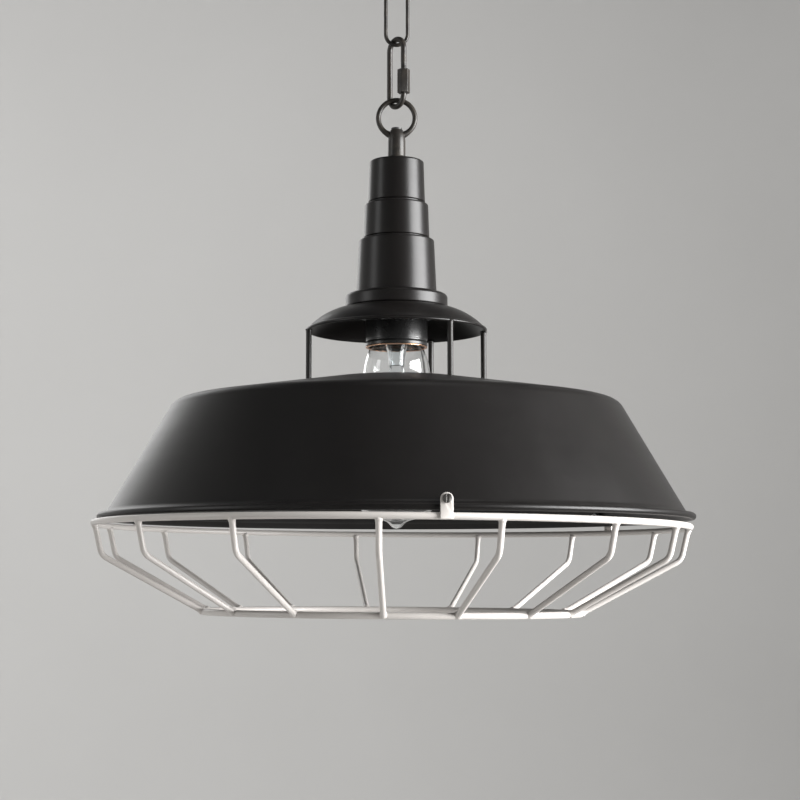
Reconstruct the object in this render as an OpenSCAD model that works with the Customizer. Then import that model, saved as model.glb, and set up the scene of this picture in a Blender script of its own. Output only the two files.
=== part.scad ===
// Pendant ceiling light: spun steel shade with a wire cage, stepped lamp-holder cover, chain and ceiling cup.
// The origin is the middle of the ceiling face, and everything hangs below it.
// Heights of the lamp's own pieces are measured upwards from the centre of the shade's rolled rim.

/* [Shade] */
// Outer diameter over the rolled rim
shade_d = 360; // [350:1:370]
// Thickness of the spun sheet
sheet = 1; // [0.8:0.1:1.2]
// Radius of the rolled rim's section
rim_bead = 2; // [1.5:0.1:2.5]
// Height of the shoulder's corner above the rim
shoulder_h = 69.5; // [66:0.5:73]
// Radius of the shoulder's corner
shoulder_r = 135.5; // [130:0.5:140]
// Radius of the bend at the shoulder
shoulder_bend = 9; // [5:1:14]
// Height of the top opening's edge above the rim
neck_h = 84; // [82:0.5:86]
// Radius of the top opening
neck_r = 46; // [40:1:48]

/* [Hanger rods] */
// Directions of the rods, in degrees from the front, turning to the right
rod_angles = [36, 96, 156, 276];
// Radius of the circle that the rods stand on
rod_circle_r = 54; // [53:0.1:54.5]
// Radius of a rod
rod_r = 1.75; // [1.5:0.05:2]

/* [Holder cover] */
// Radius of the dome over its rim
dome_r = 55.5; // [55:0.1:56.5]
// Height of the dome's rim above the shade's rim
dome_rim_h = 115.3; // [113:0.1:117]
// Height of the dome's top above the shade's rim
dome_top_h = 129; // [128:0.5:131]
// Radius of the ring between the dome and the stepped cover
flange_r = 31.4; // [30:0.1:33]
// Height of that ring
flange_t = 9; // [7:0.5:10]
// Heights of the three tiers, from the bottom one up
tier_h = [33.5, 22.5, 27.1];
// Radii at the foot of the three tiers
tier_foot_r = [24.7, 20.3, 17.6];
// Radii at the head of the three tiers
tier_head_r = [23.2, 19.6, 16.8];

/* [Lamp holder] */
// Radius of the holder's shell
holder_r = 19; // [18:0.1:19]
// Height of the holder's mouth above the shade's rim
holder_h = 105; // [104:0.5:107]

/* [Bulb] */
// Largest radius of the glass
bulb_r = 32; // [29:0.5:32]
// Wall of the glass
glass_t = 0.8; // [0.6:0.1:1]

/* [Cage] */
// Directions of the bent wires from the cage's own middle, in degrees from the front, turning to the right
wire_angles = [-1.9, 18.7, 42.2, 64, 87, 109.5, 136.7, 160.4, 188.5, 214.9, 237.9, 260.9, 284.5, 309.7, 332.6];
// Radius of a bent wire
wire_r = 1.7; // [1.5:0.1:1.8]
// Radius of the two rings' wire
ring_wire_r = 1.9; // [1.7:0.1:2.1]
// Drop of the top ring below the shade's rim
top_ring_drop = 5.2; // [5:0.1:7]
// Shift of the whole cage to the right of the lamp's axis
cage_aside = -2.7; // [-3:0.1:0]
// Lean of the whole cage down to the right, in degrees
cage_lean = 0.4; // [0:0.05:0.5]
// Lean of the whole cage down to the back, in degrees
cage_pitch = 0.15; // [0:0.05:0.3]
// Radius of the bend's corner
knee_r = 174.5; // [170:0.5:178]
// Drop of the bend's corner below the shade's rim
knee_drop = 24.4; // [20:0.2:28]
// Radius of the bottom ring
mouth_r = 114; // [105:1:125]
// Drop of the bottom ring below the shade's rim
mouth_drop = 57; // [52:0.1:62]

/* [Chain] */
// Outer length of a chain link
link_l = 42; // [38:0.5:46]
// Outer width of a chain link
link_w = 16; // [15:0.5:18]
// Radius of the chain's wire
link_r = 1.2; // [1:0.1:1.4]
// Radius of the quick link's wire
quick_r = 1.75; // [1.5:0.05:2]
// Outer width of the quick link
quick_w = 17; // [16:0.5:18]
// Turn of the quick link about the vertical, in degrees
quick_turn = -50; // [-60:1:-50]
// Outer diameter of the suspension eye
eye_d = 26; // [25:0.5:27]
// Radius of the eye's section
eye_wire_r = 1.6; // [1.4:0.1:1.8]
// Height of the eye's centre above the shade's rim
eye_h = 248.8; // [248:0.1:249.5]

/* [Ceiling fitting] */
// Radius of the ceiling cup
cup_r = 50; // [45:1:55]
// Depth of the ceiling cup
cup_h = 28; // [26:1:30]
// Distance between the two ceiling screws
screw_pitch = 60; // [55:1:65]

/* [Hidden] */
$fn = 96;

// gaps between pieces
link_gap = 0.45;     // between two wires that cross squarely
quick_gap = 0.6;     // between two wires that cross at a slant
fit_gap = 0.05;      // radial, between a shank and its hole

// ceiling fitting, depths below the ceiling face
bar_t = 2;
bar_l = 84;
bar_w = 14;
cup_sheet = 0.8;
hook_r = 2;          // radius of the hook's wire
hook_bend = 9;       // radius of the hook's bend, to the wire's centre
shank_r = 3;         // M6
collar_t = 3;
collar_r = 7;
hook_z = -cup_h - collar_t - 5 - hook_bend;          // centre of the hook's bend
hook_low_z = hook_z - hook_bend;                     // wire centre at the hook's lowest point

// chain, from the hook down to the eye: z of each piece's top and bottom wire centres
link_pitch = link_l - 2 * link_r;
upper_top_z = hook_low_z + hook_r + link_r + link_gap;
upper_low_z = upper_top_z - link_pitch;
lower_top_z = upper_low_z + 2 * link_r + link_gap;
lower_low_z = lower_top_z - link_pitch;
quick_top_z = lower_low_z + link_r + quick_r + quick_gap;
quick_pitch = 42.9;
quick_low_z = quick_top_z - quick_pitch;
eye_r = eye_d / 2 - eye_wire_r;                      // radius of the eye, to the section's centre
eye_top_z = quick_low_z + quick_r + eye_wire_r + quick_gap;
rim_z = eye_top_z - eye_r - eye_h;                   // the shade's rim

// quick link's opening and nut, heights above the link's bottom wire centre
quick_bend = quick_w / 2 - quick_r;
nut_l = 15;
nut_foot = quick_bend + 0.4;
nut_af = 7;                                          // width across the nut's flats
gap_low = nut_foot + 3;
gap_high = gap_low + 6;

// holder cover
cover_foot_h = dome_top_h + flange_t;
cover_top_h = cover_foot_h + tier_h[0] + tier_h[1] + tier_h[2];
cover_wall = 1.5;
stem_r = 5.5;
stem_l = 20.3;       // from the cover up into the eye
nipple_r = 5;        // M10
wire_way_r = 2.6;
nut_t = 3;
washer_t = 1;

// lamp holder and bulb, heights above the shade's rim
seat_h = dome_top_h;                                 // where the holder's shoulder rests on the dome
insert_h = holder_h + 33;                            // underside of the ceramic insert
holder_top_h = holder_h + 61;
holder_in_r = holder_r - 2.5;
cap_foot_h = holder_h + 7;
cap_head_h = cap_foot_h + 22.5;
cap_r = 13.05;
shell_r = cap_r + 0.3;

// shade
bead_r = shade_d / 2 - rim_bead;                     // radius of the rim, to the bead's centre
cone_foot = [bead_r - 4, 3.2];
shade_path = concat(
  [[neck_r, neck_h]],
  fillet([neck_r, neck_h], [shoulder_r, shoulder_h], cone_foot, shoulder_bend, 6),
  fillet([shoulder_r, shoulder_h], cone_foot, [bead_r, 0.6], 5, 3),
  [[bead_r, 0.6]]);
function shade_top_at(r) = neck_h - (r - neck_r) * (neck_h - shoulder_h) / (shoulder_r - neck_r);
function cone_r_at(h) = cone_foot.x + (h - cone_foot.y) * (shoulder_r - cone_foot.x) / (shoulder_h - cone_foot.y);

// cage
top_ring_r = shade_d / 2 - 1;
knee_bend = 8;
tab_angles = [8.2, 128.2, 248.2];
tab_w = 6.6;
tab_t = 1.5;
tab_in_r = shade_d / 2 + 0.4;
tab_top_h = 7;
tab_screw_h = 3.9;
tab_screw_r = 1.5;

// ---- outlines and wires ----

function unit(v) = v / norm(v);
function left_of(v) = [-v.y, v.x];
function reversed(p) = [for (i = [len(p) - 1:-1:0]) p[i]];

// Round corner of radius r at b on the way from a to c, as n + 1 points
function fillet(a, b, c, r, n) =
  let (u = unit(a - b), v = unit(c - b),
       half = acos(u * v) / 2,
       centre = b + unit(u + v) * r / sin(half),
       p = b + u * r / tan(half), q = b + v * r / tan(half),
       from = atan2(p.y - centre.y, p.x - centre.x),
       turn = short_turn(atan2(q.y - centre.y, q.x - centre.x) - from))
  [for (i = [0:n]) centre + r * [cos(from + turn * i / n), sin(from + turn * i / n)]];
function short_turn(a) = a > 180 ? a - 360 : a < -180 ? a + 360 : a;

// Points of the cubic curve with ends a, d and handles b, c, leaving out its start
function curve(a, b, c, d, n) =
  [for (i = [1:n]) let (t = i / n, s = 1 - t) s*s*s * a + 3*s*s*t * b + 3*s*t*t * c + t*t*t * d];

// The path moved sideways by t, to the right of its direction for a positive t
function moved(p, t) =
  [for (i = [0:len(p) - 1])
    let (a = unit(p[max(i, 1)] - p[max(i, 1) - 1]),
         b = unit(p[min(i + 1, len(p) - 1)] - p[min(i + 1, len(p) - 1) - 1]),
         m = unit(left_of(a) + left_of(b)))
    p[i] - m * t / (m * left_of(a))];

// Sheet of thickness t turned about the axis; it lies to the right of the path
module spun(path, t) {
  rotate_extrude() polygon(concat(path, reversed(moved(path, t))));
}

// Solid of revolution from an outline
module turned(outline) {
  rotate_extrude() polygon(outline);
}

// Straight rod between two points of the XZ plane
module rod(a, b, r) {
  translate([a.x, 0, a.y]) rotate([0, atan2(b.x - a.x, b.y - a.y), 0]) cylinder(h = norm(b - a), r = r);
}

// Arc of wire in the XZ plane: centre, radius of the bend, first angle, sweep, radius of the wire
module wire_arc(centre, bend, from, sweep, r) {
  translate([centre.x, 0, centre.y]) rotate([90, 0, 0]) rotate([0, 0, from])
    rotate_extrude(angle = sweep) translate([bend, 0]) circle(r = r);
}

// Wire through a, b and c of the XZ plane with a round bend at b. A ball that stands a little proud joins
// each straight to the bend, so that no two faces lie on each other.
module bent_wire(a, b, c, bend, r) {
  u = unit(a - b);
  v = unit(c - b);
  half = acos(u * v) / 2;
  centre = b + unit(u + v) * bend / sin(half);
  p = b + u * bend / tan(half);
  q = b + v * bend / tan(half);
  from = atan2(p.y - centre.y, p.x - centre.x);
  turn = short_turn(atan2(q.y - centre.y, q.x - centre.x) - from);
  short = 1.5;     // degrees left out at each end of the bend
  rod(a, p + u * 0.2, r);
  wire_arc(centre, bend, (turn < 0 ? from + turn : from) + short, abs(turn) - 2 * short, r);
  rod(q + v * 0.2, c, r);
  for (joint = [p, q]) translate([joint.x, 0, joint.y]) sphere(r = r + 0.06);
}

// Closed oval of wire in the XZ plane between two wire centres on the axis
module oval_link(top_z, low_z, bend, r) {
  wire_arc([0, top_z - bend], bend, 0, 180, r);
  wire_arc([0, low_z + bend], bend, 180, 180, r);
  for (x = [-bend, bend]) rod([x, low_z + bend], [x, top_z - bend], r);
}

// Turns a piece drawn in the XZ plane, to the right, so that it points at a compass angle from the front
module facing(angle) {
  rotate([0, 0, angle - 90]) children();
}

// Places a piece of the cage, drawn about the lamp's axis, where the cage really hangs
module on_cage() {
  on_lamp() translate([cage_aside, 0, -top_ring_drop]) rotate([-cage_pitch, cage_lean, 0])
    translate([0, 0, top_ring_drop]) children();
}

module ring_of_wire(r, h, wire) {
  translate([0, 0, h]) rotate_extrude() translate([r, 0]) circle(r = wire);
}

module on_lamp() {
  translate([0, 0, rim_z]) children();
}

module hex_nut(flats, h, hole) {
  difference() {
    cylinder(h = h, d = flats / cos(30), $fn = 6);
    translate([0, 0, -1]) cylinder(h = h + 2, r = hole);
  }
}

// ---- ceiling fitting ----

module canopy_cup() {
  path = concat(
    [[cup_r, 0], [cup_r, -5]],
    curve([cup_r, -5], [cup_r - 1, -19], [cup_r * 0.62, -cup_h + 1], [16, -cup_h], 10),
    [[shank_r + 0.2, -cup_h]]);
  color("black") spun(path, cup_sheet);
}

module crossbar() {
  color("silver") difference() {
    translate([-bar_l / 2, -bar_w / 2, -bar_t]) cube([bar_l, bar_w, bar_t]);
    for (x = [-screw_pitch / 2, screw_pitch / 2]) translate([x, 0, -bar_t - 1]) cylinder(h = bar_t + 2, r = 2.25);
    translate([0, 0, -bar_t - 1]) cylinder(h = bar_t + 2, r = shank_r + fit_gap);
  }
}

module ceiling_hook() {
  color("black") {
    translate([0, 0, -cup_h - collar_t]) cylinder(h = collar_t, r = collar_r);
    translate([0, 0, -cup_h]) cylinder(h = cup_h - 0.5, r = shank_r);
    translate([0, 0, hook_z + hook_bend]) cylinder(h = -cup_h - collar_t - hook_z - hook_bend, r = hook_r);
    wire_arc([0, hook_z], hook_bend, -190, 280, hook_r);
  }
}

module hook_locknut() {
  color("silver") translate([0, 0, -bar_t - 5]) hex_nut(10, 5, shank_r + fit_gap);
}

// ---- chain ----

module chain_link_upper() {
  color("black") rotate([0, 0, 90]) oval_link(upper_top_z, upper_low_z, link_w / 2 - link_r, link_r);
}

module chain_link_lower() {
  color("black") oval_link(lower_top_z, lower_low_z, link_w / 2 - link_r, link_r);
}

module quick_link() {
  color("black") rotate([0, 0, quick_turn]) difference() {
    oval_link(quick_top_z, quick_low_z, quick_bend, quick_r);
    translate([quick_bend, 0, quick_low_z + gap_low]) cylinder(h = gap_high - gap_low, r = quick_r + 1);
  }
}

module quick_link_nut() {
  color("black") rotate([0, 0, quick_turn]) translate([quick_bend, 0, quick_low_z + nut_foot])
    hex_nut(nut_af, nut_l, quick_r + fit_gap);
}

module suspension_eye() {
  color("black") on_lamp() difference() {
    union() {
      wire_arc([0, eye_h], eye_r, 0, 360, eye_wire_r);
      turned([[0, cover_top_h], [stem_r, cover_top_h], [stem_r, cover_top_h + stem_l - 5.3],
              [stem_r - 1.7, cover_top_h + stem_l], [0, cover_top_h + stem_l]]);
      translate([0, 0, holder_top_h - 7]) cylinder(h = cover_top_h - holder_top_h + 8, r = nipple_r);
    }
    translate([0, 0, holder_top_h - 8]) cylinder(h = eye_h - holder_top_h + 4, r = wire_way_r);
  }
}

module cable_bush() {
  color("dimgray") on_lamp() translate([0, 0, cover_top_h + stem_l - 6.5]) difference() {
    union() {
      cylinder(h = 6.5, r = wire_way_r - fit_gap);
      translate([0, 0, 6.5]) cylinder(h = 1, r = wire_way_r + 0.8);
    }
    translate([0, 0, -1]) cylinder(h = 10, r = 1.8);
  }
}

// ---- holder cover ----

module holder_cover() {
  h0 = cover_foot_h;
  h1 = h0 + tier_h[0];
  h2 = h1 + tier_h[1];
  h3 = h2 + tier_h[2];
  edge = 1.2;      // round edge at each tier's head
  groove = 0.6;    // depth of the groove at each tier's foot
  outer = concat(
    [[tier_foot_r[0], h0]],
    fillet([tier_foot_r[0], h0], [tier_head_r[0], h1], [tier_foot_r[1], h1], edge, 4),
    [[tier_foot_r[1] - groove, h1], [tier_foot_r[1] - groove, h1 + 0.8], [tier_foot_r[1], h1 + 1.5]],
    fillet([tier_foot_r[1], h1 + 1.5], [tier_head_r[1], h2], [tier_foot_r[2], h2], edge, 4),
    [[tier_foot_r[2] - groove, h2], [tier_foot_r[2] - groove, h2 + 0.8], [tier_foot_r[2], h2 + 1.5]],
    fillet([tier_foot_r[2], h2 + 1.5], [tier_head_r[2], h3], [nipple_r, h3], edge, 4),
    [[nipple_r + fit_gap, h3]]);
  inner = [[nipple_r + fit_gap, h3 - cover_wall], [tier_head_r[2] - cover_wall, h3 - cover_wall],
           [tier_foot_r[2] - cover_wall - groove, h2 - cover_wall], [tier_head_r[1] - cover_wall, h2 - cover_wall],
           [tier_foot_r[1] - cover_wall - groove, h1 - cover_wall], [tier_head_r[0] - cover_wall, h1 - cover_wall],
           [tier_foot_r[0] - cover_wall, h0]];
  color([0.1, 0.1, 0.1]) on_lamp() turned(concat(outer, inner));
}

module eye_washer() {
  color("silver") on_lamp() translate([0, 0, cover_top_h - cover_wall - washer_t]) difference() {
    cylinder(h = washer_t, r = 9);
    translate([0, 0, -1]) cylinder(h = washer_t + 2, r = nipple_r + fit_gap);
  }
}

module eye_locknut() {
  color("silver") on_lamp() translate([0, 0, cover_top_h - cover_wall - washer_t - nut_t])
    hex_nut(14, nut_t, nipple_r + fit_gap);
}

module cover_flange() {
  inner_r = 23;
  low = dome_top_h;
  high = cover_foot_h;
  round = 2.5;
  outline = concat(
    [[inner_r, low]],
    fillet([inner_r, low], [flange_r, low], [flange_r, high], 1, 3),
    fillet([flange_r, low], [flange_r, high - 1.2], [flange_r - 4, high], round, 5),
    [[inner_r, high]]);
  color([0.1, 0.1, 0.1]) on_lamp() turned(outline);
}

module collar_dome() {
  dome_sheet = 1;
  lip = 0.9;       // radius of the rolled lip's section
  path = concat(
    [[holder_r + 0.3, dome_top_h]],
    [[flange_r - 1, dome_top_h]],
    curve([flange_r - 1, dome_top_h], [flange_r + 9, dome_top_h - 1.2], [dome_r - 6, dome_rim_h + 6.5],
          [dome_r - 1, dome_rim_h + 0.6], 10));
  color([0.1, 0.1, 0.1]) on_lamp() {
    spun(path, dome_sheet);
    ring_of_wire(dome_r - lip, dome_rim_h, lip);
  }
}

module shade_ring() {
  color([0.1, 0.1, 0.1]) on_lamp() translate([0, 0, dome_top_h - 1 - 5]) difference() {
    cylinder(h = 5, r = holder_r + 4.5);
    translate([0, 0, -1]) cylinder(h = 7, r = holder_r + fit_gap);
  }
}

// ---- lamp holder ----

module holder_body() {
  outline = [
    [holder_r, holder_h], [holder_r, seat_h], [holder_r + 3.5, seat_h], [holder_r + 3.5, seat_h + 2],
    [holder_r, seat_h + 2], [holder_r, holder_top_h - 16], [12, holder_top_h - 6],
    [7.5, holder_top_h - 4], [7.5, holder_top_h], [nipple_r + fit_gap, holder_top_h],
    [nipple_r + fit_gap, holder_top_h - 6.5], [9, holder_top_h - 8], [holder_in_r, holder_top_h - 16],
    [holder_in_r, holder_h + 2], [holder_r - 1.6, holder_h]];
  color([0.08, 0.08, 0.08]) on_lamp() turned(outline);
}

module holder_trim() {
  color([0.72, 0.45, 0.3]) on_lamp() translate([0, 0, holder_h - 0.6]) difference() {
    cylinder(h = 0.6, r = holder_r);
    translate([0, 0, -1]) cylinder(h = 3, r = holder_r - 1.6);
  }
}

module holder_insert() {
  tower_h = 12;
  color("white") on_lamp() translate([0, 0, insert_h]) difference() {
    cylinder(h = tower_h, r = holder_in_r - 0.2);
    translate([0, 0, -1]) cylinder(h = 6, r = 6);
    translate([0, 0, -1]) cylinder(h = tower_h + 2, r = 1.2 + fit_gap);
    for (x = [-10, 10]) translate([x, 0, tower_h - 4]) cylinder(h = 5, r = 1.5 + fit_gap);
  }
}

module screw_shell() {
  color("gold") on_lamp() translate([0, 0, insert_h - 24]) difference() {
    cylinder(h = 24, r = shell_r + 0.4);
    translate([0, 0, -1]) cylinder(h = 26, r = shell_r);
  }
}

module centre_contact() {
  color("gold") on_lamp() {
    translate([0, 0, insert_h + 1.7]) cylinder(h = 0.6, r = 4);
    translate([0, 0, insert_h + 2.3]) cylinder(h = 10.5, r = 1.2);
  }
}

module terminal_screws() {
  color("silver") on_lamp() for (x = [-10, 10]) translate([x, 0, insert_h + 8.5]) {
    cylinder(h = 3.5, r = 1.5);
    translate([0, 0, 3.5]) difference() {
      cylinder(h = 2, r = 2.8);
      translate([-3, -0.4, 1]) cube([6, 0.8, 2]);
    }
  }
}

// ---- shade ----

module hanger_rods() {
  foot_h = shade_top_at(rod_circle_r) - 7;
  color("black") on_lamp() for (a = rod_angles)
    facing(a) rod([rod_circle_r, foot_h], [rod_circle_r, dome_rim_h + 0.4], rod_r);
}

module rod_nuts() {
  color("black") on_lamp() for (a = rod_angles)
    facing(a) translate([rod_circle_r, 0, shade_top_at(rod_circle_r) - 5.2]) hex_nut(6.5, 3, rod_r + fit_gap);
}

module main_shade() {
  color([0.1, 0.1, 0.1]) on_lamp() difference() {
    union() {
      spun(shade_path, sheet);
      ring_of_wire(bead_r, 0, rim_bead);
    }
    for (a = rod_angles)
      facing(a) translate([rod_circle_r, 0, neck_h - 10]) cylinder(h = 12, r = rod_r + 0.1);
    for (a = tab_angles)
      facing(a) rod([bead_r - 15, tab_screw_h], [bead_r + 5, tab_screw_h], tab_screw_r + 0.1);
  }
}

// ---- cage ----

module cage_top_ring() {
  color("white") on_cage() ring_of_wire(top_ring_r, -top_ring_drop, ring_wire_r);
}

module cage_bottom_ring() {
  color("white") on_cage() ring_of_wire(mouth_r, -mouth_drop, ring_wire_r);
}

module cage_wires() {
  color("white") on_cage() for (a = wire_angles)
    facing(a)
      bent_wire([top_ring_r, -top_ring_drop], [knee_r, -knee_drop], [mouth_r, -mouth_drop], knee_bend, wire_r);
}

// The top ring's centre under a tab: distance from the lamp's axis and height over the shade's rim
function ring_r_at(a) = top_ring_r + cage_aside * sin(a);
function ring_h_at(a) = -top_ring_drop - top_ring_r * (sin(a) * sin(cage_lean) - cos(a) * sin(cage_pitch));

module cage_tabs() {
  round_h = tab_top_h - tab_w / 2;      // centre of the round head
  foot_t = 2.2;                         // thickness of the foot that is welded on the ring
  inset = 0.3;                          // the foot is this much narrower and higher than the tab
  color("white") on_lamp() for (a = tab_angles) facing(a) difference() {
    foot_h = ring_h_at(a) - 1.6;
    foot_r = min(ring_r_at(a), tab_in_r) - 1;
    union() {
      translate([tab_in_r, -tab_w / 2, foot_h]) cube([tab_t, tab_w, round_h - foot_h]);
      translate([foot_r, inset - tab_w / 2, foot_h + inset])
        cube([tab_in_r + tab_t / 2 - foot_r, tab_w - 2 * inset, foot_t]);
      rod([tab_in_r, round_h], [tab_in_r + tab_t, round_h], tab_w / 2);
    }
    rod([tab_in_r - 1, tab_screw_h], [tab_in_r + tab_t + 1, tab_screw_h], tab_screw_r + fit_gap);
  }
}

module tab_screws() {
  head_t = 1.6;
  seat_r = tab_in_r + tab_t;
  color("dimgray") on_lamp() for (a = tab_angles) facing(a) difference() {
    union() {
      rod([cone_r_at(tab_screw_h) - 6, tab_screw_h], [seat_r, tab_screw_h], tab_screw_r);
      rod([seat_r, tab_screw_h], [seat_r + head_t, tab_screw_h], 2.4);
    }
    translate([seat_r + head_t - 0.7, -0.4, tab_screw_h - 3]) cube([2, 0.8, 6]);
  }
}

module tab_nuts() {
  color("silver") on_lamp() for (a = tab_angles) facing(a)
    translate([cone_r_at(tab_screw_h) - 5.6, 0, tab_screw_h]) rotate([0, 90, 0]) hex_nut(5.5, 2.4, tab_screw_r + fit_gap);
}

// ---- bulb ----

widest_h = 46;
shoulder_low_h = -0.2;
glass_path = concat(
  [[12.6, cap_foot_h + 3], [12.6, cap_foot_h]],
  curve([12.6, cap_foot_h], [13.4, cap_foot_h - 4.5], [18.8, cap_foot_h - 7.5], [20.5, holder_h - 15], 6),
  curve([20.5, holder_h - 15], [22.6, holder_h - 27], [bulb_r, widest_h + 18], [bulb_r, widest_h], 8),
  curve([bulb_r, widest_h], [bulb_r, widest_h - 22], [25, 1.5], [14, shoulder_low_h], 9),
  curve([14, shoulder_low_h], [8, -1.4], [6.2, -1.8], [4.6, -3.6], 3),
  curve([4.6, -3.6], [3.4, -5.6], [1.4, -6.5], [0, -6.5], 3));

module bulb_glass() {
  inside = moved(glass_path, glass_t);
  last = len(inside) - 1;
  color([0.8, 0.85, 0.9, 0.4]) on_lamp() turned(concat(
    glass_path, [[0, glass_path[last].y + glass_t]], [for (i = [last - 1:-1:0]) inside[i]]));
}

module bulb_cap() {
  wall = 0.35;
  color("silver") on_lamp() turned([
    [cap_r - wall, cap_foot_h], [cap_r, cap_foot_h], [cap_r, cap_head_h - 1], [cap_r - 1, cap_head_h],
    [6, cap_head_h], [6, cap_head_h - wall], [cap_r - 1.2, cap_head_h - wall], [cap_r - wall, cap_head_h - 1.3]]);
}

module bulb_insulator() {
  color("black") on_lamp() turned([
    [1, cap_head_h - 2], [5.9, cap_head_h - 2], [5.9, cap_head_h], [9, cap_head_h], [5, cap_head_h + 3],
    [1, cap_head_h + 3]]);
}

module bulb_contact() {
  color("silver") on_lamp() {
    translate([0, 0, cap_head_h - 2]) cylinder(h = 5, r = 0.95);
    translate([0, 0, cap_head_h + 3]) cylinder(h = 1.9, r1 = 4.6, r2 = 3.4);
  }
}

// Heights of the bulb's inner pieces above the shade's rim
stem_low_h = 84;
filament_high_h = 80;
filament_low_h = 26;
filament_ring_r = 11;
filament_legs = 8;

module bulb_stem() {
  color([0.85, 0.9, 0.95, 0.5]) on_lamp() {
    turned([[2.4, cap_foot_h + 2.6], [11.6, cap_foot_h + 2.6], [10, cap_foot_h - 1], [5.5, cap_foot_h - 8],
            [4.6, stem_low_h + 6], [3.6, stem_low_h + 6], [4.6, cap_foot_h - 8], [9, cap_foot_h + 0.4],
            [2.4, cap_foot_h + 0.4]]);
    translate([-4.6, -1.6, stem_low_h]) cube([9.2, 3.2, 7]);
    translate([0, 0, filament_low_h + 6]) cylinder(h = stem_low_h - filament_low_h - 6, r = 1.5);
    translate([0, 0, filament_low_h + 6]) sphere(r = 2.2, $fn = 24);
  }
}

module lead_wires() {
  color("silver") on_lamp() for (side = [-1, 1]) {
    rod([side * 3.4, stem_low_h - 0.2], [side * filament_ring_r, filament_high_h], 0.35);
    rod([side * 3.4, stem_low_h + 7.2], [side * 3.4, cap_foot_h + 0.3], 0.3);
  }
}

module filament_supports() {
  color("silver") on_lamp() for (i = [0:filament_legs - 1]) {
    a = i * 360 / filament_legs;
    if (i % 4 != 0) rotate([0, 0, a]) rod([1.6, filament_high_h - 1], [filament_ring_r, filament_high_h], 0.2);
    rotate([0, 0, a + 180 / filament_legs])
      rod([1.6, filament_low_h + 8.5], [filament_ring_r * 0.8, filament_low_h], 0.2);
  }
}

// Zigzag between the upper and the lower supports, open between its two ends
module filament() {
  color("orange") on_lamp() for (i = [0:filament_legs - 1]) {
    a = i * 360 / filament_legs;
    high = [filament_ring_r * cos(a), filament_ring_r * sin(a), filament_high_h];
    for (turn = [-1, 1]) {
      b = a + turn * 180 / filament_legs;
      low = [filament_ring_r * 0.8 * cos(b), filament_ring_r * 0.8 * sin(b), filament_low_h];
      if (!(i == 0 && turn < 0)) strand(high, low, 0.25);
      translate(low) sphere(r = 0.33);
    }
    translate(high) sphere(r = 0.33);
  }
}

// Straight strand between two points in space
module strand(a, b, r) {
  d = b - a;
  translate(a) rotate([0, acos(d.z / norm(d)), atan2(d.y, d.x)]) cylinder(h = norm(d), r = r);
}

canopy_cup();
crossbar();
ceiling_hook();
hook_locknut();
chain_link_upper();
chain_link_lower();
quick_link();
quick_link_nut();
suspension_eye();
cable_bush();
eye_washer();
eye_locknut();
holder_cover();
cover_flange();
collar_dome();
shade_ring();
holder_body();
holder_trim();
holder_insert();
screw_shell();
centre_contact();
terminal_screws();
hanger_rods();
rod_nuts();
main_shade();
cage_top_ring();
cage_wires();
cage_bottom_ring();
cage_tabs();
tab_screws();
tab_nuts();
bulb_glass();
bulb_cap();
bulb_insulator();
bulb_contact();
bulb_stem();
lead_wires();
filament_supports();
filament();
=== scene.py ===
"""Pendant ceiling light with a wire cage: the drawn pieces, their finishes, the floor, lights and camera."""

import math

import bmesh
import bpy
import numpy as np
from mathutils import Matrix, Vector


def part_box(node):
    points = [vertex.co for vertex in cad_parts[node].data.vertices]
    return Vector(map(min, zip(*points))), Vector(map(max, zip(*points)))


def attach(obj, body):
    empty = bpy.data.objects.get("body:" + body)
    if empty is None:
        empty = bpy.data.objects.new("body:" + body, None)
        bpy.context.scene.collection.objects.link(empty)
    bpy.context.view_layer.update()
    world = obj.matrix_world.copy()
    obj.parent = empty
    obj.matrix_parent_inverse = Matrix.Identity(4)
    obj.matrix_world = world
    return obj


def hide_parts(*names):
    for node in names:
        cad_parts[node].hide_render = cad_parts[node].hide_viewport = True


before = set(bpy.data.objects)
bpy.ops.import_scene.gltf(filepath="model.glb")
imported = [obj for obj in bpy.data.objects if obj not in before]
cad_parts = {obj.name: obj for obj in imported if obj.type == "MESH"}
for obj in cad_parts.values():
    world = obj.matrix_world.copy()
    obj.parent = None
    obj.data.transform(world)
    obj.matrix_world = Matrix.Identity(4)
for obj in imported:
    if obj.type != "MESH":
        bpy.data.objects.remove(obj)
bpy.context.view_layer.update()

# ---------------------------------------------------------------- sizes, in millimetres

MM = 0.001
RIM_BEAD = 2.0                    # radius of the shade's rolled rim
shade_low, shade_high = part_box("main_shade")
RIM_Z = shade_low.z / MM + RIM_BEAD          # height of the rim's centre
SHADE_R = shade_high.x / MM
CUP_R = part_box("canopy_cup")[1].x / MM
SHEET = 1.0

POLE = 1e-6                       # radius of a point that closes a surface on its axis

# distance from the lamp's axis to the camera, its height over the rim, its tilt in degrees and its lens
CAMERA_AWAY = 1060.0
CAMERA_OVER_RIM = -36.3
CAMERA_ASIDE = 2.1
CAMERA_PITCH = 5.8476
CAMERA_SENSOR = 36.0
CAMERA_LENS = 78.21


# ---------------------------------------------------------------- outlines, as arrays of (radius, height)

def unit(v):
    return v / np.linalg.norm(v)


def points(*pairs):
    return np.array(pairs, float)


def arc(centre, radius, start, end, n):
    """Circular arc of n + 1 points: centre plus radius times (cosine, sine) of angles in degrees."""
    a = np.radians(np.linspace(start, end, n + 1))
    return np.array(centre) + radius * np.c_[np.cos(a), np.sin(a)]


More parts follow.
